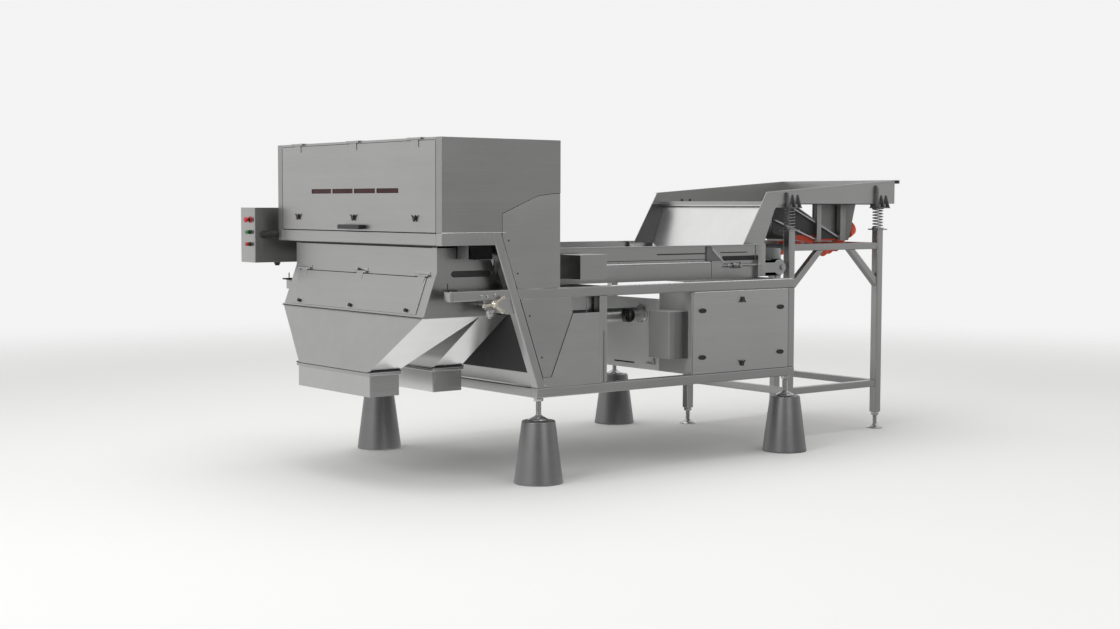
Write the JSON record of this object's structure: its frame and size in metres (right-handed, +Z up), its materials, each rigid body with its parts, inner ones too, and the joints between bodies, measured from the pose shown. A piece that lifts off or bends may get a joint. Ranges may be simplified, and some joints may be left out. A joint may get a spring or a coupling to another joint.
{
  "type": "belt optical sorter with vibrating feeder",
  "caption": "Stainless belt-type optical sorter: vibrating feeder tray, conveyor, camera head with lift-up door, discharge hood with splitter and twin spouts, side cabinet and button box.",
  "frame": {"origin": "centre of the overall footprint at floor level", "axes": "+X from the discharge end towards the feeder, +Y from the cabinet side to the button-box side, +Z up"},
  "size_m": [3.71, 1.878, 1.6805],
  "materials": {
    "stainless": "satin",
    "tray_steel": "satin",
    "bracket_paint": "satin",
    "foot_steel": "satin",
    "stud_steel": "machined",
    "black_plastic": "matt",
    "window_glass": "tinted",
    "camera_black": "satin",
    "lamp_white": "opal",
    "ejector_aluminium": "anodised",
    "belt_rubber": "matt",
    "drum_steel": "turned",
    "cast_bearing": "painted",
    "spring_steel": "plated",
    "motor_orange": "gloss",
    "brass_handle": "polished",
    "switchgear": "matt",
    "stop_red": "gloss",
    "start_green": "gloss",
    "box_steel": "satin"
  },
  "bodies": {
    "frame": {"side_rails": "stainless", "cross_tubes": "stainless", "raked_posts": "stainless", "uprights": "stainless", "frame_plates": "stainless", "head_side_plates": "stainless", "head_roof": "stainless", "head_covers": "stainless", "hood_walls": "stainless", "hood_front": "stainless", "accept_chute": "stainless", "reject_chute": "stainless", "conveyor_sides": "stainless", "slider_bed": "stainless", "drive_cover": "stainless", "cabinet_shell": "stainless", "cooling_unit": "stainless", "air_duct": "stainless", "hinge_pins": "stainless", "feeder_posts": "stainless", "feeder_rails": "stainless", "feeder_braces": "stainless", "foot_cones": "foot_steel", "levelling_feet": "stud_steel", "control_conduit": "black_plastic", "cameras": "camera_black", "lamp_bars": "lamp_white", "ejector_bar": "ejector_aluminium", "conveyor_belt": "belt_rubber", "drum_bearings": "cast_bearing", "tray_springs": "spring_steel", "cabinet_backplate": "switchgear", "control_box": "box_steel"},
    "head_door": {"head_door": "stainless", "door_windows": "window_glass", "door_handle": "black_plastic"},
    "hood_flap": {"hood_flap": "stainless"},
    "cabinet_door": {"cabinet_door": "stainless"},
    "splitter": {"splitter_blade": "stainless", "star_handle": "brass_handle"},
    "drive_drum": {"drive_drum": "drum_steel"},
    "tail_drum": {"tail_drum": "drum_steel"},
    "tray": {"tray_pan": "tray_steel", "tray_brackets": "bracket_paint", "vibration_motors": "motor_orange"},
    "e_stop": {"e_stop": "stop_red"},
    "green_button": {"green_button": "start_green"},
    "red_button": {"red_button": "stop_red"},
    "door_latch_1": {"door_latch_1": "black_plastic"},
    "flap_knob_1": {"flap_knob_1": "black_plastic"},
    "door_latch_2": {"door_latch_2": "black_plastic"},
    "flap_knob_2": {"flap_knob_2": "black_plastic"},
    "door_latch_3": {"door_latch_3": "black_plastic"},
    "flap_knob_3": {"flap_knob_3": "black_plastic"},
    "cabinet_lock_1": {"cabinet_lock_1": "black_plastic"},
    "cabinet_lock_2": {"cabinet_lock_2": "black_plastic"},
    "cabinet_lock_3": {"cabinet_lock_3": "black_plastic"},
    "cabinet_lock_4": {"cabinet_lock_4": "black_plastic"},
    "cabinet_latch_1": {"cabinet_latch_1": "black_plastic"},
    "cabinet_latch_2": {"cabinet_latch_2": "black_plastic"}
  },
  "joints": [
    {"name": "head_door_hinge", "type": "hinge", "parent": "frame", "child": "head_door", "pos_m": [-1.7285, -0.081, 1.674], "axis": [0, 1, 0], "range_deg": [0, 100]},
    {"name": "door_latch_1_turn", "type": "hinge", "parent": "head_door", "child": "door_latch_1", "pos_m": [-1.722, -0.639, 1.3], "axis": [-1, 0, 0], "range_deg": [0, 90]},
    {"name": "door_latch_2_turn", "type": "hinge", "parent": "head_door", "child": "door_latch_2", "pos_m": [-1.722, -0.081, 1.3], "axis": [-1, 0, 0], "range_deg": [0, 90]},
    {"name": "door_latch_3_turn", "type": "hinge", "parent": "head_door", "child": "door_latch_3", "pos_m": [-1.722, 0.477, 1.3], "axis": [-1, 0, 0], "range_deg": [0, 90]},
    {"name": "hood_flap_hinge", "type": "hinge", "parent": "frame", "child": "hood_flap", "pos_m": [-1.68865, -0.081, 1.02957], "axis": [0, 1, 0], "range_deg": [0, 110]},
    {"name": "flap_knob_1_turn", "type": "hinge", "parent": "hood_flap", "child": "flap_knob_1", "pos_m": [-1.74662, -0.594, 0.86214], "axis": [-0.9393, 0, 0.3431], "continuous": true},
    {"name": "flap_knob_2_turn", "type": "hinge", "parent": "hood_flap", "child": "flap_knob_2", "pos_m": [-1.74662, -0.081, 0.86214], "axis": [-0.9393, 0, 0.3431], "continuous": true},
    {"name": "flap_knob_3_turn", "type": "hinge", "parent": "hood_flap", "child": "flap_knob_3", "pos_m": [-1.74662, 0.432, 0.86214], "axis": [-0.9393, 0, 0.3431], "continuous": true},
    {"name": "cabinet_door_pull", "type": "slide", "parent": "frame", "child": "cabinet_door", "axis": [0, -1, 0], "range_m": [0, 0.15]},
    {"name": "cabinet_lock_1_turn", "type": "hinge", "parent": "cabinet_door", "child": "cabinet_lock_1", "pos_m": [-0.067, -0.861, 0.562], "axis": [0, -1, 0], "range_deg": [0, 90]},
    {"name": "cabinet_lock_2_turn", "type": "hinge", "parent": "cabinet_door", "child": "cabinet_lock_2", "pos_m": [-0.067, -0.861, 0.809], "axis": [0, -1, 0], "range_deg": [0, 90]},
    {"name": "cabinet_lock_3_turn", "type": "hinge", "parent": "cabinet_door", "child": "cabinet_lock_3", "pos_m": [0.518, -0.861, 0.562], "axis": [0, -1, 0], "range_deg": [0, 90]},
    {"name": "cabinet_lock_4_turn", "type": "hinge", "parent": "cabinet_door", "child": "cabinet_lock_4", "pos_m": [0.518, -0.861, 0.809], "axis": [0, -1, 0], "range_deg": [0, 90]},
    {"name": "cabinet_latch_1_turn", "type": "hinge", "parent": "cabinet_door", "child": "cabinet_latch_1", "pos_m": [0.225, -0.861, 0.518], "axis": [0, -1, 0], "range_deg": [0, 90]},
    {"name": "cabinet_latch_2_turn", "type": "hinge", "parent": "cabinet_door", "child": "cabinet_latch_2", "pos_m": [0.225, -0.861, 0.858], "axis": [0, -1, 0], "range_deg": [0, 90]},
    {"name": "splitter_tilt", "type": "hinge", "parent": "frame", "child": "splitter", "pos_m": [-1.437, -0.081, 0.893], "axis": [0, 1, 0], "range_deg": [-12, 12]},
    {"name": "drive_drum_spin", "type": "hinge", "parent": "frame", "child": "drive_drum", "pos_m": [-1.162, -0.081, 1.012], "axis": [0, 1, 0], "continuous": true},
    {"name": "tail_drum_spin", "type": "hinge", "parent": "frame", "child": "tail_drum", "pos_m": [0.793, -0.081, 1.012], "axis": [0, 1, 0], "continuous": true},
    {"name": "tray_throw", "type": "slide", "parent": "frame", "child": "tray", "axis": [-0.5, 0, 0.866], "range_m": [-0.004, 0.004], "stiffness_N_per_m": 60000, "springref_m": 0.01133, "deforming": ["tray_springs"]},
    {"name": "e_stop_press", "type": "slide", "parent": "frame", "child": "e_stop", "axis": [1, 0, 0], "range_m": [0, 0.005], "stiffness_N_per_m": 2000},
    {"name": "green_button_press", "type": "slide", "parent": "frame", "child": "green_button", "axis": [1, 0, 0], "range_m": [0, 0.004], "stiffness_N_per_m": 1500},
    {"name": "red_button_press", "type": "slide", "parent": "frame", "child": "red_button", "axis": [1, 0, 0], "range_m": [0, 0.004], "stiffness_N_per_m": 1500}
  ],
  "couplings": [
    {"joint": "tail_drum_spin", "follows": "drive_drum_spin", "ratio": 1}
  ]
}
